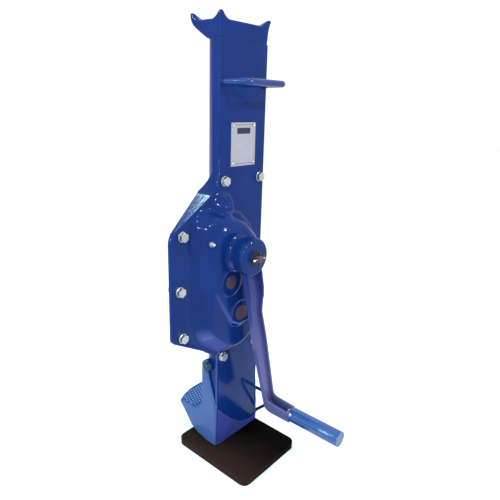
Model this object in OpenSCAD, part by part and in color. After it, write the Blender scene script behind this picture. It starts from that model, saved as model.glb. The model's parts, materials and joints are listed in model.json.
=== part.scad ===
// Rack jack: toothed rack on a foot plate, sliding housing with gear train, claw, head and safety crank.
// Millimetres. Origin at the centre of the foot plate's underside, Z up, crank on -Y, claw on +Y.

/* [Foot] */
// Foot plate width along X
foot_w = 140; // [130:1:160]
// Foot plate depth along Y
foot_d = 166; // [150:1:190]
// Foot plate thickness
foot_t = 12; // [10:0.5:13]
// Foot plate corner radius
foot_r = 13; // [5:1:20]

/* [Housing] */
// Column centre offset from the foot centre, along X
col_x = 13; // [5:0.5:15]
// Front face offset from the foot centre, along Y
front_y = 13; // [5:0.5:16]
// Column width
col_w = 104.5; // [104:0.5:108]
// Column depth
col_d = 34; // [34:0.5:36]
// Back corner radius of the column
col_r = 20; // [16:0.5:20]
// Sheet thickness
sheet = 3.5; // [3:0.25:3.5]
// Height of the column's lower edge at rest
col_bottom = 14; // [13:0.5:18]
// Height of the column's upper edge at rest
col_top = 695; // [694:1:700]
// Overall height to the horn tips
total_h = 730; // [725:1:740]
// Depth of the drawn gear bulge in front of the front face
bulge_h = 25.5; // [25.5:0.5:27]

/* [Gears] */
// Backlash on each gear's tooth thickness
backlash = 0.2; // [0.1:0.05:0.3]

/* [Claw] */
// Height of the claw's load face at rest
claw_z = 68.5; // [66:0.5:74]
// Reach of the claw tip from the front face
claw_reach = 109; // [100:1:115]

/* [Crank] */
// Angle of the parked crank arm from vertical
crank_lean = 13; // [0:0.5:20]
// Distance from crank shaft to grip axis
crank_len = 304; // [300:1:306]
// Outer radius of the grip sleeve
grip_r = 13; // [12:0.5:13.5]

/* [Hidden] */
$fn = 64;
eps = 0.01;
fit = 0.05;
gap = 0.4;
// Modules of the crank, intermediate and rack stages
m_crank = 2.5;
m_mid = 3.5;
m_rack = 5;
// Teeth of every pinion, of the intermediate gear and of the main gear
z_pin = 7;
z_mid = 31;
z_main = 30;
pressure = 20;
shift = 0.5;
tip_add = 0.8;
steps = 7;
arc_n = 10;

// Shaft positions in the housing frame (X, Z)
s3 = [-29.2, 279.1];
a_mid = m_mid * (z_pin + z_main) / 2;
dir_mid = 113;
s2 = s3 + a_mid * [cos(dir_mid), sin(dir_mid)];
a_crank = m_crank * (z_pin + z_mid) / 2;
dir_crank = 69.5;
s1 = s2 + a_crank * [cos(dir_crank), sin(dir_crank)];

// Depth levels in the housing frame (Y, front face at 0, negative toward the crank)
back_in = col_d - sheet;
bulge_in = -bulge_h + 3;
plat_y = -bulge_h - 5;
neck_y = -43;
hub_back = -44;
hub_face = -65;
thread_r = 6;
pin_y = hub_face - 8;
z1_y = -21.5;
z1_w = 8;
z2_w = 8.5;
z3_y = -13;
z3_w = 15.5;
z4_y = -12.5;
z4_w = 15;
z5_y = 4.5;
z5_w = 25;
bear_t = 8;
bear_y = col_d + bear_t;

// Journal radii
j1 = 8;
j1_rear = 7;
j2 = 11;
j2_rear = 9;
j3 = 13;
j3_rear = 11;

// Rack
rack_tip = s3[0] + m_rack * (z_pin / 2 + shift - tip_add);
rack_ref = s3[0] + m_rack * (z_pin / 2 + shift);
rack_root = s3[0] + m_rack * (z_pin / 2 + shift + 1);
rack_back = 26;
rack_y = 4.5;
rack_w = 25;
rack_top = 686;
pitch = PI * m_rack;
travel = 350;
guide_top = rack_top - travel - 0.5;
stop_x = 39;

// Housing outline in X and Z, counter-clockwise
half_w = col_w / 2;
gear_left = -150;
outline = [
    [-half_w, col_bottom],
    [half_w, col_bottom],
    [half_w, col_top],
    [-half_w, col_top],
    [-half_w, 482],
    [gear_left, 422],
    [gear_left, 255],
    [-half_w, 197.5]
];
outline_r = [1.5, 1.5, 1.5, 1.5, 40, 22, 12, 6];
bulge = [
    [-10, 203],
    [47, 240],
    [47, 318],
    [24, 408],
    [-8, 438],
    [-26, 446],
    [-34, 466],
    [-52, 466],
    [-62, 452],
    [-106, 452],
    [-106, 250],
    [-50, 203]
];
bulge_r = [60, 50, 60, 44, 30, 10, 8, 8, 10, 24, 56, 60];
platform = [
    [22, 262],
    [14, 392],
    [-18, 428],
    [-84, 428],
    [-86, 330],
    [-72, 303],
    [-50, 268],
    [-30, 257]
];
platform_r = [14, 24, 26, 26, 30, 30, 20, 14];

bolts_left = [[-128, 420], [-134, 336], [-130, 258]];
bolts_col = [[-41, 492.5], [41, 492.5], [-41, 190.5], [41, 190.5]];
boss_left_y = 15.2;
nut_h = 5;
pan_bend = -64;
pan_edge = 5;
head_t = 5.3;
washer_t = 1.6;

plate_c = [0, 546.5];
plate_s = [56, 66];
plate_t = 1;
rivet_in = 4.5;

handle_z = 637;
handle_r = 5;
handle_y = -41.5;
handle_l = -45;
handle_rt = 47.2;
handle_bend = 12;

rest_r = 3;
wing_t = 5;
rest_x = half_w + wing_t + rest_r + 0.5;
rest_top = 78;
rest_bend = 6;
rest_c = [-34, rest_top - rest_bend];
rest_fall = 44;
rest_back = 6;
lap = 0.3;

pawl_pin = [0, 21.8];
pawl_y = -50.4;
pawl_w = 3.8;
ratchet_n = 12;
ratchet_ro = 19;
ratchet_ri = 15.5;
disc_r = 17;

arm_y = -48;
arm_t = 3;
arm_front = -60;
root_y = -103;
root_h = 25;
root_low = -crank_len - root_h / 2;
root_bend = 13;
spindle_r = 7;
spindle_end = -194;
groove_back = -104.4;
groove_w = 5.2;
grip_tip = -198;
screw_y = -107;
screw_a = 139;

// ---------- outline helpers ----------

function unit(v) = v / norm(v);
function wrap(a) = a > 180 ? a - 360 : a < -180 ? a + 360 : a;
function corner(p0, p1, p2, r, n) =
    let (u = unit(p0 - p1), v = unit(p2 - p1), half = acos(u * v) / 2)
    let (c = p1 + unit(u + v) * r / sin(half), t = r / tan(half))
    let (a = p1 + u * t - c, b = p1 + v * t - c)
    let (a0 = atan2(a[1], a[0]), da = wrap(atan2(b[1], b[0]) - a0))
    [for (i = [0 : n]) c + r * [cos(a0 + da * i / n), sin(a0 + da * i / n)]];
function round_poly(p, r, n = arc_n) =
    let (k = len(p))
    [for (i = [0 : k - 1]) each corner(p[(i + k - 1) % k], p[i], p[(i + 1) % k], r[i], n)];
function left_normal(a, b) = let (d = unit(b - a)) [-d[1], d[0]];
function inset_poly(p, d) =
    let (k = len(p))
    [for (i = [0 : k - 1])
        let (n0 = left_normal(p[(i + k - 1) % k], p[i]), n1 = left_normal(p[i], p[(i + 1) % k]))
        p[i] + (n0 + n1) * d / (1 + n0 * n1)];
function turn_sign(p, i) =
    let (k = len(p), a = p[i] - p[(i + k - 1) % k], b = p[(i + 1) % k] - p[i])
    sign(a[0] * b[1] - a[1] * b[0]);
function inset_r(p, r, d) = [for (i = [0 : len(p) - 1]) max(0.5, r[i] - turn_sign(p, i) * d)];

// Extrudes an X-Z outline along Y from y0 over length h
module along_y(y0, h) {
    translate([0, y0 + h, 0])
        rotate([90, 0, 0])
            linear_extrude(h)
                children();
}

// Extrudes a Y-Z outline along X from x0 over length h
module along_x(x0, h) {
    translate([x0, 0, 0])
        rotate([90, 0, 90])
            linear_extrude(h)
                children();
}

module disc_y(c, r, y0, y1) {
    translate([c[0], y1, c[1]])
        rotate([90, 0, 0])
            cylinder(r = r, h = y1 - y0);
}

module tube_y(c, ro, ri, y0, y1) {
    difference() {
        disc_y(c, ro, y0, y1);
        disc_y(c, ri, y0 - 1, y1 + 1);
    }
}

module hex_y(c, across, y0, y1) {
    translate([c[0], y1, c[1]])
        rotate([90, 0, 0])
            rotate([0, 0, 30])
                cylinder(r = across / sqrt(3), h = y1 - y0, $fn = 6);
}

module rod(a, b, r) {
    d = b - a;
    translate(a)
        rotate([0, acos(d[2] / norm(d)), atan2(d[1], d[0])])
            cylinder(r = r, h = norm(d));
}

module at_housing() {
    translate([col_x, front_y, 0])
        children();
}

module at_crank() {
    at_housing()
        translate([s1[0], 0, s1[1]])
            rotate([0, -crank_lean, 0])
                children();
}

// ---------- gear helpers ----------

function inv_deg(a) = tan(a) * 180 / PI - a;
function half_tooth(m, z, x) =
    (90 + 2 * x * tan(pressure) * 180 / PI) / z - backlash / (m * z) * 180 / PI / 2;
function flank(r, rb, base) = base - inv_deg(acos(min(1, rb / r)));
function tooth(m, z, x, rf, ra, mid) =
    let (rb = m * z / 2 * cos(pressure), base = half_tooth(m, z, x) + inv_deg(pressure))
    let (rs = concat([rf], [for (i = [0 : steps]) rb + (ra - rb) * i / steps]))
    concat(
        [for (r = rs) let (a = mid - flank(r, rb, base)) r * [cos(a), sin(a)]],
        [for (i = [len(rs) - 1 : -1 : 0]) let (r = rs[i], a = mid + flank(r, rb, base)) r * [cos(a), sin(a)]]
    );
function gear_points(m, z, x, rf, ra, phase) =
    [for (k = [0 : z - 1]) each tooth(m, z, x, rf, ra, phase + 360 * k / z)];

module pinion_y(c, m, phase, y0, w) {
    translate([c[0], 0, c[1]])
        along_y(y0, w)
            polygon(gear_points(m, z_pin, shift, 3 * m, m * (z_pin / 2 + shift + tip_add), phase));
}

module wheel_y(c, m, z, phase, y0, w, bore) {
    a = m * (z_pin + z) / 2;
    difference() {
        translate([c[0], 0, c[1]])
            along_y(y0, w)
                polygon(gear_points(m, z, -shift, a - m * 5, m * (z / 2 - shift + tip_add), phase));
        disc_y(c, bore, y0 - 1, y0 + w + 1);
    }
}

// Square keyway or key on top of a shaft
module key_y(c, w, z0, z1, y0, y1) {
    translate([c[0] - w / 2, y0, c[1] + z0])
        cube([w, y1 - y0, z1 - z0]);
}

module circlip_y(c, r, y0, t) {
    difference() {
        tube_y(c, r + 3, r - 0.8, y0, y0 + t);
        translate([c[0] - 2, y0 - 1, c[1]])
            cube([4, t + 2, r + 5]);
    }
}

module groove_y(c, r, y0, t) {
    difference() {
        disc_y(c, r + 1, y0 - fit, y0 + t + fit);
        disc_y(c, r - 0.85, y0 - 1, y0 + t + 1);
    }
}

// ---------- foot ----------

module rounded_rect(w, d, r) {
    square([w - 2 * r, d], center = true);
    square([w, d - 2 * r], center = true);
    for (sx = [-1, 1], sy = [-1, 1])
        translate([sx * (w / 2 - r), sy * (d / 2 - r)])
            circle(r);
}

module foot_plate() {
    color("#151414")
        linear_extrude(foot_t)
            rounded_rect(foot_w, foot_d, foot_r);
}

function rack_side() =
    let (th = pitch / 4 - backlash / 2, up = tan(pressure))
    [for (k = [-8 : 24])
        let (zc = s3[1] + (k + 0.5) * pitch)
        each [
            [rack_root, zc - th - (rack_root - rack_ref) * up],
            [rack_tip, zc - th + (rack_ref - rack_tip) * up],
            [rack_tip, zc + th - (rack_ref - rack_tip) * up],
            [rack_root, zc + th + (rack_root - rack_ref) * up]
        ]];

module stop_screw_at(r, z0, z1) {
    for (x = [2, 18])
        translate([x, rack_y + rack_w / 2 + 3, z0])
            cylinder(r = r, h = z1 - z0);
}

module rack() {
    color("#6f6a63")
        at_housing()
            difference() {
                along_y(rack_y, rack_w)
                    polygon(concat(
                        [[rack_back, rack_top], [rack_back, foot_t], [rack_root, foot_t]],
                        rack_side(),
                        [[rack_root, rack_top]]
                    ));
                stop_screw_at(3.1, rack_top - 22, rack_top + 1);
            }
}

module rack_stop() {
    color("#6f6a63")
        at_housing()
            difference() {
                translate([rack_root, 14.5, rack_top])
                    cube([stop_x - rack_root, 12, 4]);
                stop_screw_at(3.1, rack_top - 1, rack_top + 5);
            }
}

module stop_screws() {
    color("#b9bcc0")
        at_housing() {
            stop_screw_at(3, rack_top - 20, rack_top + 4);
            stop_screw_at(5, rack_top + 4, rack_top + 7);
        }
}

// ---------- housing ----------

module column_section(w, y0, y1, r) {
    intersection() {
        translate([-w / 2, y0])
            square([w, y1 - y0]);
        union() {
            translate([-w / 2, y0])
                square([w, y1 - y0 - r]);
            translate([-w / 2 + r, y0])
                square([w - 2 * r, y1 - y0]);
            for (s = [-1, 1])
                translate([s * (w / 2 - r), y1 - r])
                    circle(r);
        }
    }
}

module column_solid(w, y0, y1, r, z0, z1) {
    translate([0, 0, z0])
        linear_extrude(z1 - z0)
            column_section(w, y0, y1, r);
}

// Gear pan behind the front cover, inset by d: its back slants forward to the left edge,
// and its walls run out on the column's rounded corner above and below
module gear_pan(d, y1) {
    p = inset_poly(outline, d);
    r = inset_r(outline, outline_r, d);
    slope = (col_d - pan_edge) / (pan_bend - gear_left);
    far = gear_left - 10;
    flat = col_d - col_r;
    intersection() {
        along_y(sheet, y1 - sheet)
            polygon(round_poly(p, r));
        translate([far, 0, 180])
            cube([-half_w + col_r + 2 - far, 60, 340]);
        linear_extrude(600)
            polygon([
                [far, sheet - 1],
                [0, sheet - 1],
                [0, y1],
                [pan_bend, y1],
                [far, max(sheet - 1, y1 - slope * (pan_bend - far))]
            ]);
        along_x(far, -far)
            polygon([
                [sheet - 1, 190 + d], [flat, 190 + d], [col_d + 1, 216 + d], [col_d + 1, 474 - d],
                [flat, 508 - d], [sheet - 1, 508 - d]
            ]);
    }
}

module housing_shell() {
    inner_w = col_w - 2 * sheet;
    color("#1f49a8")
        at_housing()
            difference() {
                union() {
                    difference() {
                        union() {
                            column_solid(col_w, sheet, col_d, col_r, col_bottom, col_top);
                            gear_pan(0, col_d);
                        }
                        column_solid(inner_w, sheet - 1, back_in, col_r - sheet, col_bottom - 1, col_top + 1);
                        gear_pan(sheet, back_in);
                    }
                    for (b = bolts_left)
                        disc_y(b, 7.5, sheet, boss_left_y);
                }
                for (b = bolts_left)
                    disc_y(b, 4.1, sheet - 1, boss_left_y + 1);
                disc_y(s1, 11, back_in - 1, col_d + 1);
                disc_y(s2, 13, back_in - 1, col_d + 1);
                disc_y(s3, 15, back_in - 1, col_d + 1);
            }
}

module front_cover() {
    plate_o = round_poly(outline, outline_r);
    bulge_o = round_poly(bulge, bulge_r);
    bulge_i = round_poly(inset_poly(bulge, 3), inset_r(bulge, bulge_r, 3));
    color("#22479c")
        at_housing()
            difference() {
                union() {
                    difference() {
                        union() {
                            along_y(0, sheet)
                                polygon(plate_o);
                            along_y(-bulge_h, bulge_h)
                                polygon(bulge_o);
                        }
                        along_y(bulge_in, 40)
                            polygon(bulge_i);
                    }
                    along_y(plat_y, 5)
                        polygon(round_poly(platform, platform_r));
                    disc_y(s1, 25, neck_y, plat_y + eps);
                }
                disc_y(s1, 12, neck_y - 1, 0);
                disc_y(s2, 14.5, plat_y - 1, 0);
                disc_y(s3, 16.5, plat_y - 1, 0);
                disc_y(s1 + pawl_pin, 2.02, neck_y - 1, neck_y + 6);
                for (b = concat(bolts_left, bolts_col))
                    disc_y(b, 4.1, -1, sheet + 1);
                for (p = rivet_points())
                    disc_y(p, 1.3, -1, sheet + 1);
                disc_y([-95, 408], 3.05, -bulge_h - 1, bulge_in + 1);
            }
}

// Concave run between two horns, from a to b at height z_top, dipping by drop
function horn_cut(a, b, z_top, drop) =
    let (w = 17)
    concat(
        [[a, z_top + 5], [a, z_top]],
        [for (i = [1 : 6]) let (t = i / 6) [a + w * t, z_top - drop * sin(90 * t)]],
        [for (i = [1 : 6]) let (t = i / 6) [b - w * (1 - t), z_top - drop * sin(90 * (1 - t))]],
        [[b, z_top + 5]]
    );

module crown_corner(side) {
    z0 = col_top - 2;
    difference() {
        translate([side * (half_w - col_r) - (side < 0 ? 40 : 0), col_d - col_r, z0])
            cube([40, 60, 27]);
        translate([side * (half_w - col_r), col_d - col_r, z0])
            cylinder(r1 = col_r, r2 = col_r + 36, h = 27);
    }
}

module head_crown() {
    color("#1f49a8")
        at_housing()
            difference() {
                along_x(-half_w, col_w)
                    polygon([
                        [0, col_top], [col_d, col_top], [36, 699], [44, 704.5], [51, 709], [56.5, 713.5],
                        [60, 718.5], [61.5, 724], [61, total_h], [0, total_h]
                    ]);
                along_y(-2, 70)
                    polygon(horn_cut(-half_w + 2.5, half_w - 2.5, total_h, 10.5));
                along_x(-half_w - 1, col_w + 2)
                    polygon(horn_cut(2, 58.5, total_h, 10.5));
                crown_corner(-1);
                crown_corner(1);
            }
}

function toe_r() =
    let (hw = half_w + wing_t)
    (hw * hw + 256) / 32;

function claw_plan() =
    let (hw = half_w + wing_t, rad = toe_r(), half_a = asin(hw / rad))
    concat(
        [[-hw, 0], [hw, 0]],
        [for (i = [0 : 16]) let (a = half_a - half_a * i / 8) [rad * sin(a), claw_reach - rad + rad * cos(a)]]
    );

module claw() {
    color("#2a55b4")
        at_housing()
            difference() {
                intersection() {
                    translate([0, 0, 10])
                        linear_extrude(180)
                            polygon(claw_plan());
                    along_x(-half_w - wing_t, col_w + 2 * wing_t)
                        polygon(concat(
                            [[0, col_bottom + 1], [0, 60], [3, 104], [12, 132], [20, 158], [20, 170],
                             [23, 176], [28, 178], [33, 175], [35, 170]],
                            [for (i = [0 : 8])
                                let (a = 180 + 90 * i / 8)
                                [57 + 22 * cos(a), claw_z + 30 + 30 * sin(a)]],
                            [[claw_reach + 1, claw_z], [claw_reach + 1, claw_z - 4], [98, 52], [80, 38],
                             [61, 27], [45, 19], [25, col_bottom + 1]]
                        ));
                    translate([0, claw_reach - toe_r(), 0])
                        rotate_extrude()
                            polygon([
                                [0, 10], [76, 10], [88, 33], [101, 52], [toe_r() + 1, claw_z - 4],
                                [toe_r() + 1, 190], [0, 190]
                            ]);
                }
                column_solid(col_w + 2 * fit, -1, col_d + fit, col_r, 0, 200);
                translate([-half_w + col_r, col_d - 2, 90])
                    cube([col_w - 2 * col_r, 12, 110]);
            }
}

module claw_skirt() {
    color("#2a55b4")
        at_housing()
            along_y(-3, 3)
                polygon([
                    [-half_w, col_bottom + 1], [half_w, col_bottom + 1], [half_w, 26.5], [46, 24.5],
                    [40, 23.8], [33, 23.9], [26, 25.4], [15, 29.4], [5, 34.6], [-5, 42], [-15, 50.4],
                    [-25, 60], [-34, 69.3], [-42, 78], [-half_w, 90]
                ]);
}

module bend(c, r, rr, a0) {
    translate(c)
        rotate([0, 0, a0])
            rotate_extrude(angle = 90)
                translate([rr, 0])
                    circle(r);
}

module carry_handle() {
    x0 = handle_l + handle_bend;
    x1 = handle_rt - handle_bend;
    y0 = handle_y + handle_bend;
    color("#2450ae")
        at_housing() {
            rod([handle_l, y0, handle_z], [handle_l, 0, handle_z], handle_r);
            rod([handle_rt, y0, handle_z], [handle_rt, 0, handle_z], handle_r);
            rod([x0, handle_y, handle_z], [x1, handle_y, handle_z], handle_r);
            bend([x0, y0, handle_z], handle_r, handle_bend, 180);
            bend([x1, y0, handle_z], handle_r, handle_bend, 270);
        }
}

// Closed wire loop on the claw's right wing: level upper leg, bend, falling lower leg
module crank_rest() {
    turn = 180 - rest_fall;
    end = rest_c + rest_bend * [cos(90 + turn), sin(90 + turn)];
    low_l = (rest_back - end[0]) / cos(rest_fall);
    low_z = end[1] - low_l * sin(rest_fall);
    color("#1c2f55")
        at_housing() {
            translate([rest_x, rest_c[0], rest_c[1]])
                rotate([90, 0, 90])
                    rotate([0, 0, 90]) {
                        rotate_extrude(angle = turn)
                            translate([rest_bend, 0])
                                circle(rest_r + fit);
                        translate([rest_bend, lap, 0])
                            rotate([90, 0, 0])
                                cylinder(r = rest_r, h = lap + rest_back - rest_c[0]);
                        rotate([0, 0, turn])
                            translate([rest_bend, -lap, 0])
                                rotate([-90, 0, 0])
                                    cylinder(r = rest_r, h = lap + low_l);
                    }
            for (z = [rest_top - 2, low_z - 1])
                translate([half_w + wing_t, 1, z])
                    cube([rest_r + 0.5, 5, 4]);
        }
}

module bearing_plate() {
    color("#1f49a8")
        at_housing()
            difference() {
                along_y(col_d, bear_t)
                    polygon(round_poly([[-2, 254], [-2, 404], [-71, 404], [-71, 254]], [16, 16, 16, 16]));
                disc_y(s1, 11, col_d - 1, bear_y + 1);
                disc_y(s2, 13, col_d - 1, bear_y + 1);
                disc_y(s3, 15, col_d - 1, bear_y + 1);
            }
}

function rivet_points() =
    [for (sx = [-1, 1], sz = [-1, 1])
        plate_c + [sx * (plate_s[0] / 2 - rivet_in), sz * (plate_s[1] / 2 - rivet_in)]];

module rating_plate() {
    color("#d9dadf")
        at_housing()
            difference() {
                translate([plate_c[0] - plate_s[0] / 2, -plate_t, plate_c[1] - plate_s[1] / 2])
                    cube([plate_s[0], plate_t, plate_s[1]]);
                for (p = rivet_points())
                    disc_y(p, 1.3, -plate_t - 1, 1);
            }
}

module plate_rivets() {
    color("#c9cbd0")
        at_housing()
            for (p = rivet_points()) {
                disc_y(p, 1.25, -plate_t, sheet);
                intersection() {
                    translate([p[0], -plate_t, p[1]])
                        sphere(2.2, $fn = 24);
                    disc_y(p, 3, -plate_t - 3, -plate_t);
                }
            }
}

module cover_bolts() {
    color("#c4c8cc")
        at_housing() {
            for (b = concat(bolts_left, bolts_col))
                hex_y(b, 13, -washer_t - head_t, -washer_t);
            for (b = bolts_left)
                disc_y(b, 4, -washer_t, boss_left_y + nut_h + 1.5);
            for (b = bolts_col)
                disc_y(b, 4, -washer_t, sheet + nut_h + 1.5);
        }
}

module cover_washers() {
    color("#b4b8bd")
        at_housing()
            for (b = concat(bolts_left, bolts_col))
                tube_y(b, 8, 4.2, -washer_t, 0);
}

module cover_nut(b, y) {
    difference() {
        hex_y(b, 13, y, y + nut_h);
        disc_y(b, 4.05, y - 1, y + nut_h + 1);
    }
}

module cover_nuts() {
    color("#a8acb0")
        at_housing() {
            for (b = bolts_left)
                cover_nut(b, boss_left_y);
            for (b = bolts_col)
                cover_nut(b, sheet);
        }
}

module guide_block(x0, x1, z0, z1) {
    intersection() {
        translate([x0, 14.5, z0])
            cube([x1 - x0, 20, z1 - z0]);
        column_solid(col_w - 2 * sheet, sheet, back_in, col_r - sheet, z0 - 1, z1 + 1);
    }
}

module rack_guide_upper() {
    color("#8a7440")
        at_housing()
            guide_block(rack_back + gap, half_w - sheet, 225, guide_top);
}

module rack_guide_lower() {
    color("#8a7440")
        at_housing() {
            guide_block(rack_back + gap, half_w - sheet, 24, 70);
            guide_block(-half_w + sheet, rack_tip - gap, 24, 70);
        }
}

module front_bush_crank() {
    color("#a5803e")
        at_housing()
            tube_y(s1, 12, j1 + fit, neck_y, bulge_in);
}

module front_bush_mid() {
    color("#a5803e")
        at_housing()
            tube_y(s2, 14.5, j2 + fit, plat_y, bulge_in);
}

module front_bush_pinion() {
    color("#a5803e")
        at_housing()
            tube_y(s3, 16.5, j3 + fit, plat_y, bulge_in);
}

module rear_bush_crank() {
    color("#a5803e")
        at_housing()
            tube_y(s1, 11, j1_rear + fit, back_in, bear_y);
}

module rear_bush_mid() {
    color("#a5803e")
        at_housing()
            tube_y(s2, 13, j2_rear + fit, back_in, bear_y);
}

module rear_bush_pinion() {
    color("#a5803e")
        at_housing()
            tube_y(s3, 15, j3_rear + fit, back_in, bear_y);
}

module grease_nipple() {
    c = [-95, 408];
    color("#d0d2d6")
        at_housing() {
            disc_y(c, 3, -bulge_h - 1, bulge_in);
            hex_y(c, 8, -bulge_h - 3, -bulge_h);
            disc_y(c, 2, -bulge_h - 6, -bulge_h - 2);
            translate([c[0], -bulge_h - 7, c[1]])
                sphere(2.6, $fn = 32);
        }
}

// ---------- ratchet brake ----------

function ratchet_points() =
    [for (k = [0 : ratchet_n - 1])
        let (a = 128 + 360 * k / ratchet_n)
        each [ratchet_ri * [cos(a), sin(a)], ratchet_ro * [cos(a), sin(a)],
              (ratchet_ri + 1.2) * [cos(a + 20), sin(a + 20)]]];

module ratchet_wheel() {
    color("#77716a")
        at_housing()
            difference() {
                translate([s1[0], 0, s1[1]])
                    along_y(-50.6, 4.25)
                        polygon(ratchet_points());
                disc_y(s1, j1 + gap, -60, -40);
            }
}

module pawl_pin_stud() {
    color("#9a9da1")
        at_housing() {
            disc_y(s1 + pawl_pin, 2, -51.4, neck_y + 6);
            disc_y(s1 + pawl_pin, 3.2, -52.4, -51.4);
        }
}

module pawl_spring() {
    color("#8d9094")
        at_housing()
            translate([s1[0] + pawl_pin[0], 0, s1[1] + pawl_pin[1]])
                for (i = [0 : 2])
                    translate([0, -43.6 - i * 0.85, 0])
                        rotate([90, 0, 0])
                            rotate_extrude($fn = 32)
                                translate([2.75, 0])
                                    circle(0.4, $fn = 16);
}

module pawl() {
    tip_a = 127;
    color("#857e74")
        at_housing()
            translate([s1[0], 0, s1[1]])
                along_y(pawl_y, pawl_w)
                    difference() {
                        union() {
                            translate(pawl_pin)
                                circle(3.5);
                            polygon([
                                pawl_pin + [0.8, 3.3],
                                25 * [cos(108), sin(108)],
                                23.5 * [cos(118), sin(118)],
                                ratchet_ro * [cos(tip_a), sin(tip_a)],
                                (ratchet_ri + 1.5) * [cos(tip_a), sin(tip_a)],
                                (ratchet_ro + 0.6) * [cos(108), sin(108)],
                                pawl_pin + [0.5, -2.2]
                            ]);
                        }
                        translate(pawl_pin)
                            circle(2.06);
                    }
}

// ---------- gear train ----------

module crank_shaft() {
    phase = dir_crank + 180 + 180 / z_pin;
    color("#7a6552")
        at_housing()
            difference() {
                union() {
                    disc_y(s1, thread_r, hub_face - 10.5, hub_face + 2);
                    disc_y(s1, j1, hub_face + 1, z1_y);
                    pinion_y(s1, m_crank, phase, z1_y, z1_w);
                    disc_y(s1, j1_rear, z1_y + z1_w, bear_y + 3);
                }
                groove_y(s1, j1_rear, bear_y + gap, 1.2);
                key_y(s1, 5 + 2 * fit, 5 - fit, 12, hub_face + 1 - fit, -54.6);
                translate([s1[0] - 20, pin_y, s1[1]])
                    rotate([0, 90, 0])
                        cylinder(r = 1.65, h = 40);
            }
}

module crank_circlip() {
    color("#4b4e52")
        at_housing()
            circlip_y(s1, j1_rear, bear_y + gap, 1.2);
}

module mid_shaft() {
    phase = dir_mid + 180 + 180 / z_pin;
    color("#7a6552")
        at_housing()
            difference() {
                union() {
                    disc_y(s2, j2, plat_y - 1, z3_y);
                    pinion_y(s2, m_mid, phase, z3_y, z3_w);
                    disc_y(s2, j2_rear, z3_y + z3_w, bear_y + 3);
                }
                groove_y(s2, j2_rear, bear_y + gap, 1.2);
                key_y(s2, 6 + 2 * fit, 7.5 - fit, 14, z1_y - fit, z3_y);
            }
}

module mid_gear() {
    color("#6b645c")
        at_housing()
            difference() {
                wheel_y(s2, m_crank, z_mid, dir_crank, z1_y, z2_w, j2 + fit);
                key_y(s2, 6 + 2 * fit, 5, 13.5 + fit, z1_y - 1, z3_y + 1);
            }
}

module mid_key() {
    color("#8b8f94")
        at_housing()
            key_y(s2, 6, 7.5, 13.5, z1_y, z3_y - fit);
}

module mid_circlip() {
    color("#4b4e52")
        at_housing()
            circlip_y(s2, j2_rear, bear_y + gap, 1.2);
}

module pinion_shaft() {
    color("#7a6552")
        at_housing()
            difference() {
                union() {
                    disc_y(s3, j3, plat_y - 1, z5_y);
                    pinion_y(s3, m_rack, 0, z5_y, z5_w);
                    disc_y(s3, j3_rear, z5_y + z5_w, bear_y + 3);
                }
                groove_y(s3, j3_rear, bear_y + gap, 1.2);
                key_y(s3, 8 + 2 * fit, 9 - fit, 18, z4_y - fit, z4_y + z4_w + fit);
            }
}

module main_gear() {
    color("#6b645c")
        at_housing()
            difference() {
                wheel_y(s3, m_mid, z_main, dir_mid, z4_y, z4_w, j3 + fit);
                key_y(s3, 8 + 2 * fit, 5, 16 + fit, z4_y - 1, z4_y + z4_w + 1);
            }
}

module main_key() {
    color("#8b8f94")
        at_housing()
            key_y(s3, 8, 9, 16, z4_y, z4_y + z4_w);
}

module pinion_circlip() {
    color("#4b4e52")
        at_housing()
            circlip_y(s3, j3_rear, bear_y + gap, 1.2);
}

// ---------- crank ----------

module rear_friction_disc() {
    color("#5b3f2c")
        at_housing()
            tube_y(s1, disc_r, j1 + fit, -46, neck_y - gap);
}

module front_friction_disc() {
    color("#5b3f2c")
        at_housing()
            tube_y(s1, disc_r, j1 + fit, -54, -50.95);
}

module hub_key() {
    color("#8b8f94")
        at_housing()
            key_y(s1, 5, 5, 10.5, hub_face + 1, -54.65);
}

module crank_hub() {
    color("#2348a2")
        at_housing()
            difference() {
                disc_y(s1, 30, hub_face, hub_back);
                difference() {
                    disc_y(s1, 26.5, hub_face + 3, hub_back + 1);
                    disc_y(s1, 18, hub_face, -54);
                }
                disc_y(s1, j1 + fit, hub_face - 1, hub_back + 1);
                key_y(s1, 5 + 2 * fit, 4, 10.5 + fit, hub_face + 1 - fit, -53);
            }
}

module hub_washer() {
    color("#b4b8bd")
        at_housing()
            tube_y(s1, 12, thread_r + 0.2, hub_face - 2, hub_face);
}

module castle_nut() {
    y1 = hub_face - 2;
    color("#8a7a66")
        at_housing()
            difference() {
                hex_y(s1, 19, y1 - 8, y1);
                disc_y(s1, thread_r + fit, y1 - 9, y1 + 1);
                for (a = [0 : 60 : 120])
                    translate([s1[0], y1 - 9, s1[1]])
                        rotate([0, a, 0])
                            translate([-20, 0, -2])
                                cube([40, 5.2, 4]);
            }
}

module split_pin() {
    color("#a9adb2")
        at_housing()
            translate([s1[0], pin_y, s1[1]])
                rotate([0, 90, 0]) {
                    translate([0, 0, -12])
                        cylinder(r = 1.6, h = 23);
                    translate([0, 0, -12.5])
                        sphere(2.4, $fn = 32);
                }
}

// Arm outline across its width, inset by d on both sides
module arm_plan(d) {
    low = root_low - 1;
    polygon([
        [-17 + d, -10], [-18.5 + d, -170], [-10.5 + d, low], [10.5 - d, low], [10.5 - d, -160],
        [8 - d, -105], [16 - d, -78], [17 - d, -10]
    ]);
}

function arc(c, r, a0, a1, n = 8) =
    [for (i = [0 : n]) let (a = a0 + (a1 - a0) * i / n) c + r * [cos(a), sin(a)]];

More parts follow.
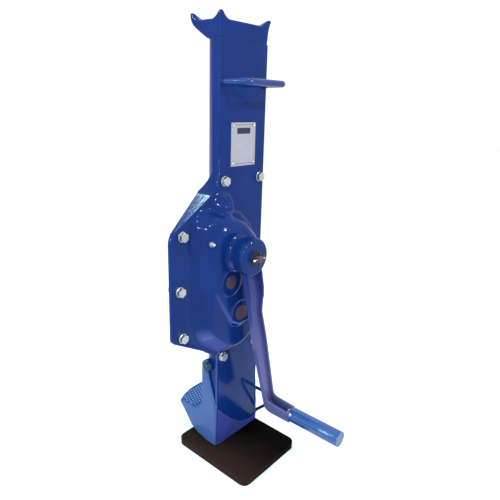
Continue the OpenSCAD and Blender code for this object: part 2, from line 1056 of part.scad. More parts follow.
// Side view of the bent channel: arm down from the hub, then forward to the grip
function arm_side() =
    let (top = root_low + root_h)
    concat(
        [[arm_y, -10], [arm_front, -10], [arm_front, -62], [arm_y - 9, -86]],
        arc([arm_y - 9 - 10, top + 10], 10, 0, -90),
        [[root_y, top - 3], [root_y, root_low]],
        arc([arm_y - root_bend, root_low + root_bend], root_bend, 270, 360)
    );
function arm_hollow() =
    let (inner = root_bend - arm_t)
    concat(
        [[arm_y - arm_t, -9], [-120, -9], [-120, root_low + root_h + 1],
         [root_y + arm_t, root_low + root_h - 2], [root_y + arm_t, root_low + arm_t]],
        arc([arm_y - root_bend, root_low + root_bend], inner, 270, 360)
    );

module crank_arm() {
    color("#2c52b2")
        at_crank()
            difference() {
                intersection() {
                    along_y(root_y - 1, 60)
                        arm_plan(0);
                    along_x(-30, 60)
                        polygon(arm_side());
                }
                intersection() {
                    along_y(-130, 90)
                        arm_plan(arm_t);
                    along_x(-30, 60)
                        polygon(arm_hollow());
                }
                disc_y([0, 0], 30 + fit, hub_face - 1, arm_y + 1);
                disc_y([0, -crank_len], spindle_r + fit, root_y - 1, root_y + arm_t + 1);
            }
}

module grip_spindle() {
    inside = root_y + arm_t;
    color("#b9bcc0")
        at_crank()
            difference() {
                union() {
                    disc_y([0, -crank_len], spindle_r, spindle_end, inside);
                    disc_y([0, -crank_len], 7.4, inside, inside + 4);
                }
                groove_y([0, -crank_len], spindle_r - 0.75, groove_back - groove_w, groove_w);
            }
}

module grip_bore(r) {
    translate([0, screw_y, -crank_len])
        rotate([0, 90 - screw_a, 0])
            translate([0, 0, 5.9])
                cylinder(r = r, h = 12);
}

module grip_sleeve() {
    color("#2a5fc0")
        at_crank()
            difference() {
                disc_y([0, -crank_len], grip_r, grip_tip, root_y - 1);
                disc_y([0, -crank_len], spindle_r + 0.08, grip_tip - 1, -50);
                grip_bore(2.52);
            }
}

module grip_cap() {
    color("#1a2c58")
        at_crank() {
            disc_y([0, -crank_len], grip_r, grip_tip - 2.5, grip_tip);
            disc_y([0, -crank_len], spindle_r, grip_tip, spindle_end - 1);
        }
}

module grip_screw() {
    color("#d5d7da")
        at_crank()
            difference() {
                intersection() {
                    grip_bore(2.5);
                    disc_y([0, -crank_len], grip_r + 0.4, screw_y - 5, screw_y + 5);
                }
                translate([0, screw_y, -crank_len])
                    rotate([0, 90 - screw_a, 0])
                        translate([-3, -0.4, grip_r - 1.2])
                            cube([6, 0.8, 3]);
            }
}

foot_plate();
rack();
rack_stop();
stop_screws();
housing_shell();
front_cover();
head_crown();
claw();
claw_skirt();
carry_handle();
crank_rest();
bearing_plate();
rating_plate();
plate_rivets();
cover_bolts();
cover_washers();
cover_nuts();
rack_guide_upper();
rack_guide_lower();
front_bush_crank();
front_bush_mid();
front_bush_pinion();
rear_bush_crank();
rear_bush_mid();
rear_bush_pinion();
grease_nipple();
ratchet_wheel();
pawl_pin_stud();
pawl_spring();
pawl();
crank_shaft();
crank_circlip();
rear_friction_disc();
front_friction_disc();
hub_key();
crank_hub();
hub_washer();
castle_nut();
split_pin();
crank_arm();
grip_spindle();
mid_shaft();
mid_gear();
mid_key();
mid_circlip();
pinion_shaft();
main_gear();
main_key();
pinion_circlip();
grip_sleeve();
grip_cap();
grip_screw();
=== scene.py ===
import json
import math

import bmesh
import bpy
import numpy as np
from mathutils import Matrix, Vector

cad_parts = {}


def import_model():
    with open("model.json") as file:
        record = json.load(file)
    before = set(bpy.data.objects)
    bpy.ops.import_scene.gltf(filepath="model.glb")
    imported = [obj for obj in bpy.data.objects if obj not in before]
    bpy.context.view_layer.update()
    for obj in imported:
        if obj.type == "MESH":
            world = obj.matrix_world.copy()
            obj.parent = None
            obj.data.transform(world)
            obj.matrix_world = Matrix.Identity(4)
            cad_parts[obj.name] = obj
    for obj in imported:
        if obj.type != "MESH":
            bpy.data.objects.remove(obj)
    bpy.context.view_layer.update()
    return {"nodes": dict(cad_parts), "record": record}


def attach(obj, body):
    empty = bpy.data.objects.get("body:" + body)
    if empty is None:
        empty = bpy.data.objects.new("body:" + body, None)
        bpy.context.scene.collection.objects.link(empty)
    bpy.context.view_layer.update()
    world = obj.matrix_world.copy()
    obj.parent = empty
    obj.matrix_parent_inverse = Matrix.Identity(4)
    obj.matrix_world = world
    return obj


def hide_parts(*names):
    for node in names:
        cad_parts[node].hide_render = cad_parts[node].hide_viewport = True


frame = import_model()
nodes = frame["nodes"]
scene = bpy.context.scene


def set_camera():
    yaw, pitch, roll = (math.radians(a) for a in (49.58, 17.13, 1.73))
    ahead = Vector((math.sin(yaw) * math.cos(pitch), math.cos(yaw) * math.cos(pitch), -math.sin(pitch)))
    side = Vector((math.cos(yaw), -math.sin(yaw), 0.0))
    up = side.cross(ahead)
    right = math.cos(roll) * side + math.sin(roll) * up
    top = -math.sin(roll) * side + math.cos(roll) * up
    cam = bpy.data.objects.new("camera", bpy.data.cameras.new("camera"))
    cam.data.sensor_width = 36.0
    cam.data.lens = 33.915
    cam.data.clip_start = 0.05
    cam.data.clip_end = 50.0
    rot = Matrix((right, top, -ahead)).transposed()
    cam.matrix_world = Matrix.Translation((-0.550, -0.4873, 0.6058)) @ rot.to_4x4()
    scene.collection.objects.link(cam)
    scene.camera = cam


class Shader:
    def __init__(self, name):
        self.mat = bpy.data.materials.new(name)
        self.mat.use_nodes = True
        self.tree = self.mat.node_tree
        self.tree.nodes.clear()
        self.out = self.node("ShaderNodeOutputMaterial")
        self.bsdf = self.node("ShaderNodeBsdfPrincipled")
        self.link(self.bsdf, "BSDF", self.out, "Surface")
        self.coord = self.node("ShaderNodeTexCoord")

    def node(self, kind, **values):
        n = self.tree.nodes.new(kind)
        for key, value in values.items():
            setattr(n, key, value)
        return n

    def link(self, a, out, b, socket):
        self.tree.links.new(a.outputs[out], b.inputs[socket])

    def noise(self, scale, detail=4.0, rough=0.5, stretch=None):
        n = self.node("ShaderNodeTexNoise")
        n.inputs["Scale"].default_value = scale
        n.inputs["Detail"].default_value = detail
        n.inputs["Roughness"].default_value = rough
        if stretch:
            m = self.node("ShaderNodeMapping")
            m.inputs["Scale"].default_value = stretch
            self.link(self.coord, "Object", m, "Vector")
            self.link(m, "Vector", n, "Vector")
        else:
            self.link(self.coord, "Object", n, "Vector")
        return n

    def ramp(self, source, out, stops):
        r = self.node("ShaderNodeValToRGB")
        while len(r.color_ramp.elements) < len(stops):
            r.color_ramp.elements.new(0.5)
        for e, (at, colour) in zip(r.color_ramp.elements, stops):
            e.position = at
            e.color = colour if len(colour) == 4 else (*colour, 1.0)
        self.link(source, out, r, "Fac")
        return r

    def span(self, source, out, low, high):
        m = self.node("ShaderNodeMapRange")
        m.inputs["To Min"].default_value = low
        m.inputs["To Max"].default_value = high
        self.link(source, out, m, "Value")
        return m

    def mix(self, factor, a, b):
        m = self.node("ShaderNodeMix", data_type="RGBA")
        self.tree.links.new(factor, m.inputs["Factor"])
        for socket, value in ((m.inputs[6], a), (m.inputs[7], b)):
            if isinstance(value, tuple):
                socket.default_value = (*value, 1.0)
            else:
                self.tree.links.new(value, socket)
        return m.outputs[2]

    def bump(self, source, out, strength, distance, chain=None):
        b = self.node("ShaderNodeBump")
        b.inputs["Strength"].default_value = strength
        b.inputs["Distance"].default_value = distance
        self.link(source, out, b, "Height")
        if chain:
            self.link(chain, "Normal", b, "Normal")
        self.link(b, "Normal", self.bsdf, "Normal")
        return b


def enamel(name, base, dark, light, rough=(0.07, 0.16), gloss=0.09, peel=0.06, lift=None, top=None,
           painted_underside_reflection=None):
    """Brushed-on gloss paint.

    The ramp argument, ((from, to, axis), colour), is painted light: the paint turns to that colour along the
    axis, in metres.
    The top and underside colours are painted reflections, given to faces that look up or down.
    """
    s = Shader(name)
    broad = s.noise(9.0, 3.0, 0.6)
    fine = s.noise(420.0, 2.0, 0.5)
    tone = s.ramp(broad, "Fac", [(0.3, dark), (0.55, base), (0.8, light)])
    colour = tone.outputs["Color"]
    worn = s.ramp(s.noise(55.0, 6.0, 0.7), "Fac", [(0.66, (0.0, 0.0, 0.0)), (0.74, (1.0, 1.0, 1.0))])
    faded = tuple(min(1.0, 1.25 * c + 0.012) for c in light)
    colour = s.mix(worn.outputs["Color"], colour, faded)
    # painted light: the colour ramps to the given colour along one axis
    if lift:
        (start, end, axis), painted_light_colour = lift
        split = s.node("ShaderNodeSeparateXYZ")
        s.link(s.coord, "Object", split, "Vector")
        rise = s.node("ShaderNodeMapRange")
        rise.inputs["From Min"].default_value = start
        rise.inputs["From Max"].default_value = end
        s.link(split, axis, rise, "Value")
        colour = s.mix(rise.outputs["Result"], colour, painted_light_colour)
    # painted reflections: faces that look up or down take the given colours
    for painted_light_colour, low, high in ((top, 0.8, 0.97), (painted_underside_reflection, -0.15, -0.6)):
        if painted_light_colour:
            facing = s.node("ShaderNodeNewGeometry")
            split = s.node("ShaderNodeSeparateXYZ")
            s.link(facing, "Normal", split, "Vector")
            lie = s.node("ShaderNodeMapRange")
            lie.inputs["From Min"].default_value = low
            lie.inputs["From Max"].default_value = high
            s.link(split, "Z", lie, "Value")
            colour = s.mix(lie.outputs["Result"], colour, painted_light_colour)
    s.tree.links.new(colour, s.bsdf.inputs["Base Color"])
    s.link(s.span(broad, "Fac", rough[0], rough[1]), "Result", s.bsdf, "Roughness")
    skin = s.noise(160.0, 2.0, 0.5)
    first = s.bump(skin, "Fac", peel, 0.002)
    s.bump(fine, "Fac", 0.03, 0.0005, first)
    s.bsdf.inputs["Specular IOR Level"].default_value = gloss
    return s.mat


def metal(name, base, dark, rough=(0.25, 0.5), metallic=1.0, stain=None):
    """Brushed metal. stain is the colour of its grease or rust patches."""
    s = Shader(name)
    grain = s.noise(6.0, 4.0, 0.6, (30.0, 30.0, 400.0))
    broad = s.noise(40.0, 5.0, 0.65)
    tone = s.ramp(grain, "Fac", [(0.25, dark), (0.75, base)])
    colour = tone.outputs["Color"]
    if stain:
        patch = s.ramp(broad, "Fac", [(0.5, (0.0, 0.0, 0.0)), (0.66, (1.0, 1.0, 1.0))])
        colour = s.mix(patch.outputs["Color"], colour, stain)
    s.tree.links.new(colour, s.bsdf.inputs["Base Color"])
    s.link(s.span(broad, "Fac", rough[0], rough[1]), "Result", s.bsdf, "Roughness")
    s.bsdf.inputs["Metallic"].default_value = metallic
    s.bump(grain, "Fac", 0.12, 0.0006)
    return s.mat


def paint(node_names, mat):
    for n in node_names.split():
        data = nodes[n].data
        data.materials.clear()
        data.materials.append(mat)


def aimed(place, target):
    """The matrix of a lamp at place that shines at target."""
    place, target = Vector(place), Vector(target)
    return Matrix.Translation(place) @ (target - place).to_track_quat("-Z", "Y").to_matrix().to_4x4()


def light(name, place, size, power, colour):
    data = bpy.data.lights.new(name, "AREA")
    data.shape = "RECTANGLE"
    data.size, data.size_y = size
    data.energy = power
    data.color = colour
    obj = bpy.data.objects.new(name, data)
    obj.matrix_world = aimed(place, (0.0, 0.0, 0.35))
    scene.collection.objects.link(obj)


def spot(name, place, power, colour=(1.0, 1.0, 1.0)):
    data = bpy.data.lights.new(name, "SPOT")
    data.energy = power
    data.color = colour
    data.shadow_soft_size = 0.05
    data.spot_size = math.radians(34.0)
    data.spot_blend = 0.6
    obj = bpy.data.objects.new(name, data)
    obj.matrix_world = aimed(place, (0.0, 0.0, 0.42))
    scene.collection.objects.link(obj)


def studio():
    sky = bpy.data.worlds.new("studio")
    sky.use_nodes = True
    back = sky.node_tree.nodes["Background"]
    back.inputs["Color"].default_value = (1.0, 1.0, 1.0, 1.0)
    back.inputs["Strength"].default_value = 1.1
    scene.world = sky
    light("left", (-1.9, 0.25, 1.15), (0.4, 1.2), 14.0, (0.42, 0.95, 1.0))
    light("back_top", (0.1, 1.5, 2.0), (0.4, 0.12), 7.0, (0.6, 0.95, 1.0))
    spot("key", (-0.4, -1.5, 1.8), 60.0)
    spot("spark_left", (-1.35, -1.1, 1.45), 60.0, (0.55, 0.95, 1.0))
    spot("spark_right", (0.7, -1.3, 1.1), 30.0)
    spot("spark_rim", (-1.3, 1.05, 1.05), 25.0, (0.55, 0.95, 1.0))
    spot("spark_low", (-1.5, -0.5, 0.35), 16.0, (0.9, 0.85, 1.0))
    bm = bmesh.new()
    bmesh.ops.create_grid(bm, x_segments=8, y_segments=8, size=9.0)
    data = bpy.data.meshes.new("floor")
    bm.to_mesh(data)
    bm.free()
    floor = bpy.data.objects.new("floor", data)
    floor.location.z = -0.0005
    s = Shader("floor_white")
    tone = s.ramp(s.noise(3.0), "Fac", [(0.0, (0.9, 0.9, 0.9)), (1.0, (0.94, 0.94, 0.94))])
    s.link(tone, "Color", s.bsdf, "Base Color")
    s.bsdf.inputs["Roughness"].default_value = 0.9
    data.materials.append(s.mat)
    scene.collection.objects.link(floor)


MM = 0.001
OFF_X, OFF_Y = 13.0, 13.0
HALF_W = 52.25
SHEET = 3.5
BULGE_H = 25.2
PAD_H = 5.1
HUB_R = 30.0
HUB_FRONT = -65.0
HUB_RIM = 5.0
HUB_BORE = 8.05
SHAFTS = {"crank": (-37.86, 383.19), "mid": (-54.5, 338.7), "pinion": (-29.2, 279.1)}


def world(x, y, z):
    """A point of the housing frame in millimetres, as metres in the row's frame at rest."""
    return Vector(((x + OFF_X) * MM, (y + OFF_Y) * MM, z * MM))


def rounded(points, radii, steps=8):
    """The corners of an X-Z outline, each turned into an arc."""
    out = []
    n = len(points)
    for i in range(n):
        p0, p1, p2 = (Vector(points[j % n]) for j in (i - 1, i, i + 1))
        u, v = (p0 - p1).normalized(), (p2 - p1).normalized()
        half = u.angle(v) / 2
        centre = p1 + (u + v).normalized() * radii[i] / math.sin(half)
        reach = radii[i] / math.tan(half)
        a, b = p1 + u * reach - centre, p1 + v * reach - centre
        turn = math.atan2(a.x * b.y - a.y * b.x, a.dot(b))
        start = math.atan2(a.y, a.x)
        for k in range(steps + 1):
            t = start + turn * k / steps
            out.append((centre.x + radii[i] * math.cos(t), centre.y + radii[i] * math.sin(t)))
    return out


def depth_inside(outline, xs, zs):
    """Signed distance from the outline, positive inside, at every grid point."""
    gx, gz = np.meshgrid(xs, zs, indexing="ij")
    best = np.full(gx.shape, 1e9)
    inside = np.zeros(gx.shape, dtype=bool)
    pts = np.array(outline)
    for (ax, az), (bx, bz) in zip(pts, np.roll(pts, -1, axis=0)):
        dx, dz = bx - ax, bz - az
        length = dx * dx + dz * dz
        if length < 1e-12:
            continue
        t = np.clip(((gx - ax) * dx + (gz - az) * dz) / length, 0.0, 1.0)
        best = np.minimum(best, np.hypot(gx - ax - t * dx, gz - az - t * dz))
        if az != bz:
            cross = ((az > gz) != (bz > gz)) & (gx < (bx - ax) * (gz - az) / (bz - az) + ax)
            inside ^= cross
    return np.where(inside, best, -best)


def ease(t):
    t = np.clip(t, 0.0, 1.0)
    return t * t * t * (t * (6.0 * t - 15.0) + 10.0)


def finish_piece(name, bm, mat, body, smooth=40.0):
    bmesh.ops.recalc_face_normals(bm, faces=bm.faces)
    data = bpy.data.meshes.new(name)
    bm.to_mesh(data)
    bm.free()
    data.materials.append(mat)
    data.shade_smooth()
    data.set_sharp_from_angle(angle=math.radians(smooth))
    obj = bpy.data.objects.new(name, data)
    scene.collection.objects.link(obj)
    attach(obj, body)
    return obj


def bevel(obj, width, segments=2, angle=32.0):
    weld = obj.modifiers.new("weld", "WELD")
    weld.merge_threshold = 1e-6
    b = obj.modifiers.new("bevel", "BEVEL")
    b.width = width * MM
    b.segments = segments
    b.limit_method = "ANGLE"
    b.angle_limit = math.radians(angle)
    b.harden_normals = False
    b.use_clamp_overlap = True


def lathe(bm, centre, profile, segments=64):
    """Turns (radius, Y) pairs about an axis along Y through centre."""
    rings = []
    for r, y in profile:
        if r < 1e-6:
            rings.append([bm.verts.new(world(centre[0], y, centre[1]))])
            continue
        ring = []
        for k in range(segments):
            a = 2 * math.pi * k / segments
            ring.append(bm.verts.new(world(centre[0] + r * math.cos(a), y, centre[1] + r * math.sin(a))))
        rings.append(ring)
    for one, two in zip(rings, rings[1:]):
        for k in range(segments):
            j = (k + 1) % segments
            corners = [one[k % len(one)], one[j % len(one)], two[j % len(two)], two[k % len(two)]]
            corners = list(dict.fromkeys(corners))
            if len(corners) > 2:
                bm.faces.new(corners)


def bump_at(gx, gz, x, z, radius, height):
    """A round hill: full height at its middle, running out smoothly at radius."""
    return height * ease(1.0 - np.hypot(gx - x, gz - z) / radius)


def wall(bm, outline, levels):
    """Walls round a counter-clockwise outline, through (inset, Y) levels. Returns the first and last ring."""
    rings = []
    count = len(outline)
    for inset, y in levels:
        ring = []
        for k, (x, z) in enumerate(outline):
            (ax, az), (bx, bz) = outline[k - 1], outline[(k + 1) % count]
            along = Vector((bx - ax, bz - az)).normalized() * (0.0 if z > 690.0 else 1.0)
            ring.append(bm.verts.new(world(x - along.y * inset, y, z + along.x * inset)))
        rings.append(ring)
    for one, two in zip(rings, rings[1:]):
        for k in range(count):
            j = (k + 1) % count
            bm.faces.new((one[k], two[k], two[j], one[j]))
    return rings[0], rings[-1]


def skin(bm, xs, zs, front, solid, thick):
    """A closed sheet whose front follows a grid of Y heights, where solid is true."""
    grid = {}
    for i, j in zip(*np.nonzero(solid)):
        x, y, z = xs[i], front[i, j], zs[j]
        grid[i, j] = bm.verts.new(world(x, y, z)), bm.verts.new(world(x, y + thick, z))
    sides = {}
    for i, j in grid:
        corners = [(i, j), (i + 1, j), (i + 1, j + 1), (i, j + 1)]
        if all(c in grid for c in corners):
            bm.faces.new([grid[c][0] for c in corners])
            bm.faces.new([grid[c][1] for c in reversed(corners)])
            for a, b in zip(corners, corners[1:] + corners[:1]):
                if sides.pop((b, a), None) is None:
                    sides[a, b] = True
    for a, b in sides:
        bm.faces.new((grid[b][0], grid[a][0], grid[a][1], grid[b][1]))
    loose = [v for v in bm.verts if not v.link_faces]
    bmesh.ops.delete(bm, geom=loose, context="VERTS")


def drawn_cover(mat):
    """Front sheet with its deep-drawn gear bulge, raised bearing pad and hub neck."""
    sheet = rounded(
        [(-HALF_W, 14), (HALF_W, 14), (HALF_W, 695), (-HALF_W, 695), (-HALF_W, 482), (-150, 422), (-150, 255),
         (-HALF_W, 197.5)],
        [1.5, 1.5, 1.5, 1.5, 40, 22, 12, 6])
    bulge = rounded(
        [(-10, 203), (47, 240), (47, 318), (24, 408), (-8, 438), (-30, 446), (-62, 452), (-106, 452),
         (-106, 250), (-50, 203)],
        [60, 50, 60, 44, 30, 40, 20, 24, 56, 60])
    pad = rounded(
        [(22, 262), (14, 392), (-18, 428), (-84, 428), (-86, 330), (-72, 303), (-50, 268), (-30, 257)],
        [14, 24, 26, 26, 30, 30, 20, 14])
    bm = bmesh.new()
    outer = wall(bm, sheet, ((0.0, SHEET), (0.0, 2.4), (0.25, 1.3), (0.95, 0.5), (1.9, 0.1), (2.6, 0.0)))
    opening = wall(bm, bulge, ((3.0, SHEET), (3.0, 0.0)))
    for loops in zip(outer, opening):
        edges = [bm.edges.get((ring[k - 1], ring[k])) for ring in loops for k in range(len(ring))]
        bmesh.ops.triangle_fill(bm, use_beauty=True, edges=edges)

    step = 1.25
    xs = np.arange(-114.0, 56.0, step)
    zs = np.arange(195.0, 486.0, step)
    d = depth_inside(bulge, xs, zs)
    gx, gz = np.meshgrid(xs, zs, indexing="ij")
    h = BULGE_H * ease((d + 7.0) / 27.0)
    nose = bump_at(gx, gz, -47.0, 452.0, 30.0, 21.0)
    h = (h ** 3 + nose ** 3) ** (1 / 3)
    h += bump_at(gx, gz, -47.0, 455.0, 15.0, 3.0)
    slope = 7.0 + 13.0 * ease((gz - 300.0) / 50.0)
    h += PAD_H * ease(depth_inside(pad, xs, zs) / slope + 0.45)
    for name, edge in (("mid", 21.5), ("pinion", 24.0)):
        r = np.hypot(gx - SHAFTS[name][0], gz - SHAFTS[name][1])
        h += 1.1 * np.exp(-((r - edge) / 2.2) ** 2)
    r = np.hypot(gx - SHAFTS["crank"][0], gz - SHAFTS["crank"][1])
    h += 2.0 * ease((32.0 - r) / 6.0)
    solid = h > 0.0
    for name, bore in (("crank", 12.0), ("mid", 14.5), ("pinion", 16.5)):
        solid &= np.hypot(gx - SHAFTS[name][0], gz - SHAFTS[name][1]) > bore
    skin(bm, xs, zs, 0.06 - h, solid, 2.5)
    lathe(bm, SHAFTS["crank"], [(28.6, -30.0), (28.0, -31.4), (26.6, -32.6), (25.4, -34.4), (25.0, -36.5),
                                (25.0, -41.8), (24.6, -42.7), (23.8, -43.0), (12.2, -43.0), (12.2, -30.0),
                                (28.6, -30.0)])
    bmesh.ops.remove_doubles(bm, verts=bm.verts, dist=1e-6)
    obj = finish_piece("front_cover_drawn", bm, mat, "housing", 50.0)
    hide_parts("front_cover")


def flare(bm):
    """Thickens the horn tips, turns the right ones outwards and hollows the side below them."""
    bm.normal_update()
    top = max(v.co.z for v in bm.verts)
    for v in bm.verts:
        t = min(max((v.co.z - 0.703) / 0.025, 0.0), 1.0)
        v.co += v.normal * 1.3 * MM * t * t
        right = min(max((v.co.x - 0.045) / 0.02, 0.0), 1.0)
        waist = max(1.0 - ((v.co.z - 0.687) / 0.016) ** 2, 0.0)
        v.co.x += (5.0 * t * t - 3.0 * waist) * MM * right
        v.co.z = min(v.co.z, top)


def softened(name, node, mat, voxel, passes, keep, reshape=None):
    """A cast version of a CAD node: same solid with rounded edges and filleted inner corners.

    keep is a test on a point in metres; points that pass it stay where they are.
    """
    obj = bpy.data.objects.new(name, nodes[node].data.copy())
    scene.collection.objects.link(obj)
    weld = obj.modifiers.new("weld", "WELD")
    weld.merge_threshold = 1e-6
    net = obj.modifiers.new("net", "REMESH")
    net.mode = "VOXEL"
    net.voxel_size = voxel * MM
    data = bpy.data.meshes.new_from_object(obj.evaluated_get(bpy.context.evaluated_depsgraph_get()))
    data.name = name
    old = obj.data
    obj.modifiers.clear()
    obj.data = data
    bpy.data.meshes.remove(old)
    bm = bmesh.new()
    bm.from_mesh(data)
    if reshape:
        reshape(bm)
    loose = [v for v in bm.verts if not keep(v.co)]
    for _ in range(passes):
        bmesh.ops.smooth_vert(bm, verts=loose, factor=0.5, use_axis_x=True, use_axis_y=True, use_axis_z=True)
    bm.to_mesh(data)
    bm.free()
    data.materials.clear()
    data.materials.append(mat)
    data.shade_smooth()
    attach(obj, "housing")
    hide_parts(node)


def turned_hub(mat):
    """The crank hub with its large rounded rim and the recess for the friction discs."""
    bm = bmesh.new()
    rim = [(HUB_R - HUB_RIM + HUB_RIM * math.sin(t), HUB_FRONT + HUB_RIM - HUB_RIM * math.cos(t)) for t in
           (math.pi * k / 16 for k in range(9))]
    profile = [(HUB_BORE, HUB_FRONT)] + rim + [
        (HUB_R, -45.0), (29.7, -44.3), (29.0, -44.0), (26.5, -44.0), (26.5, -62.0), (18.0, -62.0),
        (18.0, -54.0), (HUB_BORE, -54.0), (HUB_BORE, HUB_FRONT)]
    lathe(bm, SHAFTS["crank"], profile, 96)
    bmesh.ops.remove_doubles(bm, verts=bm.verts, dist=1e-6)
    obj = finish_piece("crank_hub_turned", bm, mat, "crank", 50.0)
    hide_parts("crank_hub")


def ball(name, centre, radii, mat):
    """A cast boss: an ellipsoid with a slightly uneven skin."""
    bm = bmesh.new()
    bmesh.ops.create_icosphere(bm, subdivisions=4, radius=1.0)
    for v in bm.verts:
        n = v.co.copy()
        wave = 1.0 + 0.02 * math.sin(5 * n.x + 3 * n.z) * math.cos(4 * n.y)
        v.co = world(*(c + r * k * wave for c, r, k in zip(centre, radii, n)))
    finish_piece(name, bm, mat, "housing", 80.0)


def plate_print(ink, grey):
    """Generic bars that stand for the rating plate's print. No lettering."""
    def bars(name, rows, mat):
        bm = bmesh.new()
        for x0, x1, z0, z1 in rows:
            corner = [bm.verts.new(world(x, y, z)) for y in (-1.0, -1.12) for x, z in
                      ((x0, z0), (x1, z0), (x1, z1), (x0, z1))]
            for face in ((0, 1, 2, 3), (7, 6, 5, 4), (0, 4, 5, 1), (1, 5, 6, 2), (2, 6, 7, 3), (3, 7, 4, 0)):
                bm.faces.new([corner[k] for k in face])
        finish_piece(name, bm, mat, "housing")

    bars("plate_header", [(-15, 15, 562.5, 571.5)], ink)
    rows = [(-19, 19, 556.5, 557.1), (-19, -3, 541.0, 549.5), (2, 19, 544.0, 546.4)]
    for k in range(5):
        rows.append((-19, 12 + 7 * ((k * 3) % 2), 534.5 - 3.6 * k, 535.9 - 3.6 * k))
    bars("plate_lines", rows, grey)


def claw_studs(mat):
    """Rows of cast anti-slip studs on the claw's load face."""
    bm = bmesh.new()
    reach, hw, bow = 109.0, HALF_W + 5.0, 16.0
    rad = (hw * hw + bow * bow) / (2.0 * bow)
    for row in range(8):
        y = 62.0 + row * 6.0
        for col in range(-9, 10):
            x = col * 6.0 + (3.0 if row % 2 else 0.0)
            edge = reach - rad + math.sqrt(max(rad * rad - x * x, 0.0))
            if abs(x) > hw - 5.0 or y > edge - 5.0:
                continue
            for k, (r, z) in enumerate(((1.6, 68.2), (1.5, 69.0), (1.0, 69.7), (0.0, 69.9))):
                ring = []
                for n in range(8 if r else 1):
                    a = math.pi * n / 4
                    ring.append(bm.verts.new(world(x + r * math.cos(a), y + r * math.sin(a), z)))
                if k:
                    for n in range(8):
                        m = (n + 1) % 8
                        corners = (last[n], last[m], ring[m % len(ring)], ring[n % len(ring)])
                        bm.faces.new(list(dict.fromkeys(corners)))
                else:
                    bm.faces.new(list(reversed(ring)))
                last = ring
    finish_piece("claw_studs", bm, mat, "housing", 70.0)


def weld_bead(name, path, radius, mat, closed=True):
    """A hand-laid weld: overlapping ripples along a path of housing-frame points."""
    sides = 10
    bm = bmesh.new()
    pts = [world(*p) for p in path]
    count = len(pts)
    rings = []
    for i, p in enumerate(pts):
        a = pts[i - 1] if (closed or i) else pts[i]
        b = pts[(i + 1) % count] if (closed or i < count - 1) else pts[i]
        along = (b - a).normalized()
        side = along.orthogonal().normalized()
        other = along.cross(side)
        r = radius * MM * (1.0 + 0.13 * math.sin(i * 2.1) + 0.07 * math.sin(i * 0.73))
        rings.append([bm.verts.new(p + r * (math.cos(t) * side + math.sin(t) * other))
                      for t in (2 * math.pi * k / sides for k in range(sides))])
    for i in range(count if closed else count - 1):
        one, two = rings[i], rings[(i + 1) % count]
        shift = min(range(sides),
                    key=lambda q: sum((one[k].co - two[(k + q) % sides].co).length for k in (0, 3)))
        for k in range(sides):
            m = k + 1
            bm.faces.new((one[k], one[m % sides], two[(m + shift) % sides], two[(k + shift) % sides]))
    if not closed:
        bm.faces.new(rings[0])
        bm.faces.new(rings[-1])
    finish_piece(name, bm, mat, "housing", 60.0)


scene.view_settings.view_transform = "Standard"
set_camera()
studio()

blue = enamel("blue_enamel", (0.003, 0.019, 0.12), (0.002, 0.016, 0.10), (0.005, 0.024, 0.14), gloss=0.11)
# the cover's blue paint, with a painted reflection of the floor on faces that look down, such as the
# underside of the gear bulge
cover_blue_with_painted_reflection = enamel("cover_enamel", (0.003, 0.019, 0.12), (0.002, 0.016, 0.10), (0.005, 0.024, 0.14),
                    gloss=0.13, painted_underside_reflection=(0.055, 0.07, 0.27))
# a lighter, lilac copy of the blue paint for the crank arm: painted light, made lighter still toward the
# arm's lower end
arm_painted_light_blue = enamel("arm_enamel", (0.016, 0.025, 0.15), (0.012, 0.020, 0.13), (0.025, 0.034, 0.18), gloss=0.15,
                  lift=((0.36, 0.14, "Z"), (0.085, 0.085, 0.22)))
# a lighter copy of the blue paint for the claw skirt, which faces down: painted light in place of the light
# that falls on it
skirt_painted_light_blue = enamel("skirt_enamel", (0.03, 0.04, 0.2), (0.02, 0.03, 0.16), (0.045, 0.06, 0.24))
# a slightly darker copy of the blue paint for the crank hub: painted shade
hub_painted_shade_blue = enamel("hub_enamel", (0.003, 0.019, 0.11), (0.002, 0.015, 0.09), (0.006, 0.028, 0.14), gloss=0.14,
                  peel=0.1)
# a lighter, more cyan copy of the blue paint for the carry handle: painted light for its bright highlight
bow_painted_light_blue = enamel("bow_enamel", (0.004, 0.028, 0.14), (0.003, 0.021, 0.115), (0.008, 0.040, 0.18), gloss=0.35,
                  peel=0.2)
# a lighter copy of the blue paint for the cast claw, painted light from the left; the top colour is a painted
# cyan reflection on faces that look up
claw_painted_light_blue = enamel("claw_enamel", (0.045, 0.085, 0.23), (0.03, 0.065, 0.20), (0.065, 0.115, 0.28), gloss=0.12,
                   peel=0.12, top=(0.010, 0.060, 0.24))
# pale blue studs: painted highlights, the glints on the stud tops
stud_painted_highlight_blue = enamel("stud_enamel", (0.16, 0.29, 0.52), (0.08, 0.17, 0.38), (0.3, 0.42, 0.62))
# a darker, teal copy of the blue paint for the claw boss: painted shade with painted cyan light
boss_painted_shade_blue = enamel("boss_enamel", (0.003, 0.03, 0.07), (0.002, 0.02, 0.05), (0.006, 0.045, 0.1),
                   gloss=0.25, peel=0.5)
grip_blue = enamel("grip_enamel", (0.012, 0.055, 0.22), (0.008, 0.042, 0.18), (0.018, 0.07, 0.26), gloss=0.7)
# the foot's black paint; the ramp toward -X is a painted brown reflection on the foot's left part
black = enamel("foot_enamel", (0.002, 0.002, 0.002), (0.001, 0.001, 0.001), (0.004, 0.003, 0.003),
               (0.35, 0.5), gloss=0.006, lift=((0.03, -0.09, "X"), (0.03, 0.016, 0.013)))
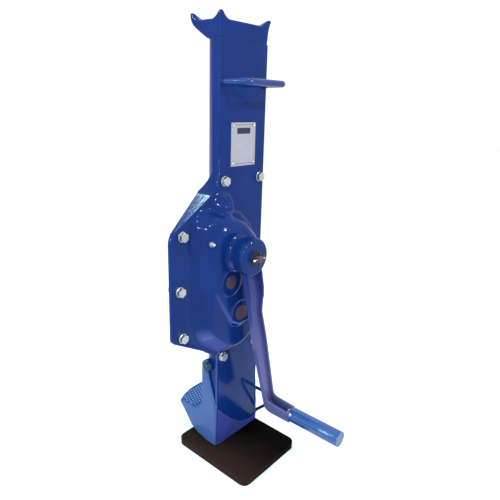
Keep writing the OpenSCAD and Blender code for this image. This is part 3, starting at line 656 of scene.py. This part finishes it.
# a lighter copy of the blue paint for the welds along the column's lower left edge and the claw seam: painted
# highlight
weld_painted_highlight_blue = enamel("weld_enamel", (0.035, 0.05, 0.22), (0.02, 0.035, 0.18), (0.06, 0.08, 0.28),
                   gloss=0.3, peel=0.3)
dark_blue = enamel("rest_enamel", (0.004, 0.012, 0.07), (0.003, 0.008, 0.045), (0.006, 0.02, 0.1))
zinc = metal("bright_zinc", (0.62, 0.63, 0.64), (0.4, 0.4, 0.42), (0.22, 0.4))
brown = metal("greased_steel", (0.11, 0.07, 0.11), (0.05, 0.03, 0.05), (0.3, 0.55), metallic=0.5,
              stain=(0.17, 0.06, 0.06))
dark_steel = metal("nut_steel", (0.055, 0.045, 0.055), (0.03, 0.022, 0.03), (0.3, 0.55), metallic=0.5)
bronze = metal("bronze", (0.42, 0.27, 0.11), (0.25, 0.15, 0.06), (0.3, 0.5))
spring = metal("spring_steel", (0.1, 0.1, 0.11), (0.04, 0.04, 0.045), (0.3, 0.5))
silver = metal("plate_silver", (0.30, 0.285, 0.34), (0.25, 0.235, 0.285), (0.35, 0.5), metallic=0.1)
lining = metal("brake_lining", (0.1, 0.06, 0.04), (0.04, 0.025, 0.02), (0.7, 0.9), metallic=0.0)

by_slot = {
    "foot_black": black, "gear_steel": brown, "zinc_steel": zinc, "blue_paint": blue,
    "grip_plastic": grip_blue, "plate_metal": silver, "bronze": bronze, "friction_lining": lining,
    "spring_steel": spring,
}
for part in frame["record"]["subparts"]:
    paint(part["node"], by_slot[part["material_slot"]])
paint("crank_rest", dark_blue)
paint("front_bush_mid front_bush_pinion", blue)
paint("crank_arm", arm_painted_light_blue)
paint("claw_skirt", skirt_painted_light_blue)
paint("carry_handle", bow_painted_light_blue)
paint("hub_washer castle_nut", dark_steel)

drawn_cover(cover_blue_with_painted_reflection)
claw_studs(stud_painted_highlight_blue)
turned_hub(hub_painted_shade_blue)
softened("claw_cast", "claw", claw_painted_light_blue, 1.3, 9, lambda p: p.z < 0.016)
softened("head_cast", "head_crown", blue, 1.0, 6, lambda p: p.z < 0.698, flare)
ball("claw_boss", (-57.0, 19.0, 170.0), (9.0, 9.5, 10.0), boss_painted_shade_blue)
ink = enamel("plate_ink", (0.03, 0.03, 0.06), (0.02, 0.02, 0.04), (0.05, 0.05, 0.09), (0.5, 0.7))
grey = enamel("plate_grey", (0.3, 0.3, 0.34), (0.22, 0.22, 0.26), (0.4, 0.4, 0.44), (0.5, 0.7))
plate_print(ink, grey)

for x in (-45.0, 47.2):
    ring = [(x + 5.6 * math.cos(t), -0.6, 637.0 + 5.6 * math.sin(t)) for t in
            (2 * math.pi * k / 36 for k in range(36))]
    weld_bead("bow_weld_left" if x < 0 else "bow_weld_right", ring, 1.7, blue)

# the low bead and the claw seam take the lighter weld paint, a painted highlight along the left edge
for name, z0, z1, mat in (("low", 16.0, 196.0, weld_painted_highlight_blue), ("top", 486.0, 693.0, blue)):
    count = int((z1 - z0) / 2.5)
    line = [(-51.9 + 0.15 * math.sin(k * 0.9), 2.9, z0 + (z1 - z0) * k / count) for k in range(count + 1)]
    weld_bead("column_weld_" + name, line, 1.5, mat, closed=False)
seam = [(-54.2, 0.9, 16.0 + 2.5 * k) for k in range(35)]
weld_bead("claw_weld", seam, 2.1, weld_painted_highlight_blue, closed=False)

bevels = {
    0.2: "grease_nipple",
    0.25: "rating_plate",
    0.3: "cover_washers hub_washer grip_spindle main_gear mid_gear",
    0.4: "crank_shaft mid_shaft pinion_shaft front_bush_mid front_bush_pinion rack",
    0.5: "cover_nuts castle_nut",
    0.7: "cover_bolts",
    0.8: "claw_skirt crank_arm grip_sleeve",
    1.0: "housing_shell",
    1.2: "bearing_plate grip_cap",
    1.6: "foot_plate",
}
for width, names in bevels.items():
    for name in names.split():
        bevel(nodes[name], width)
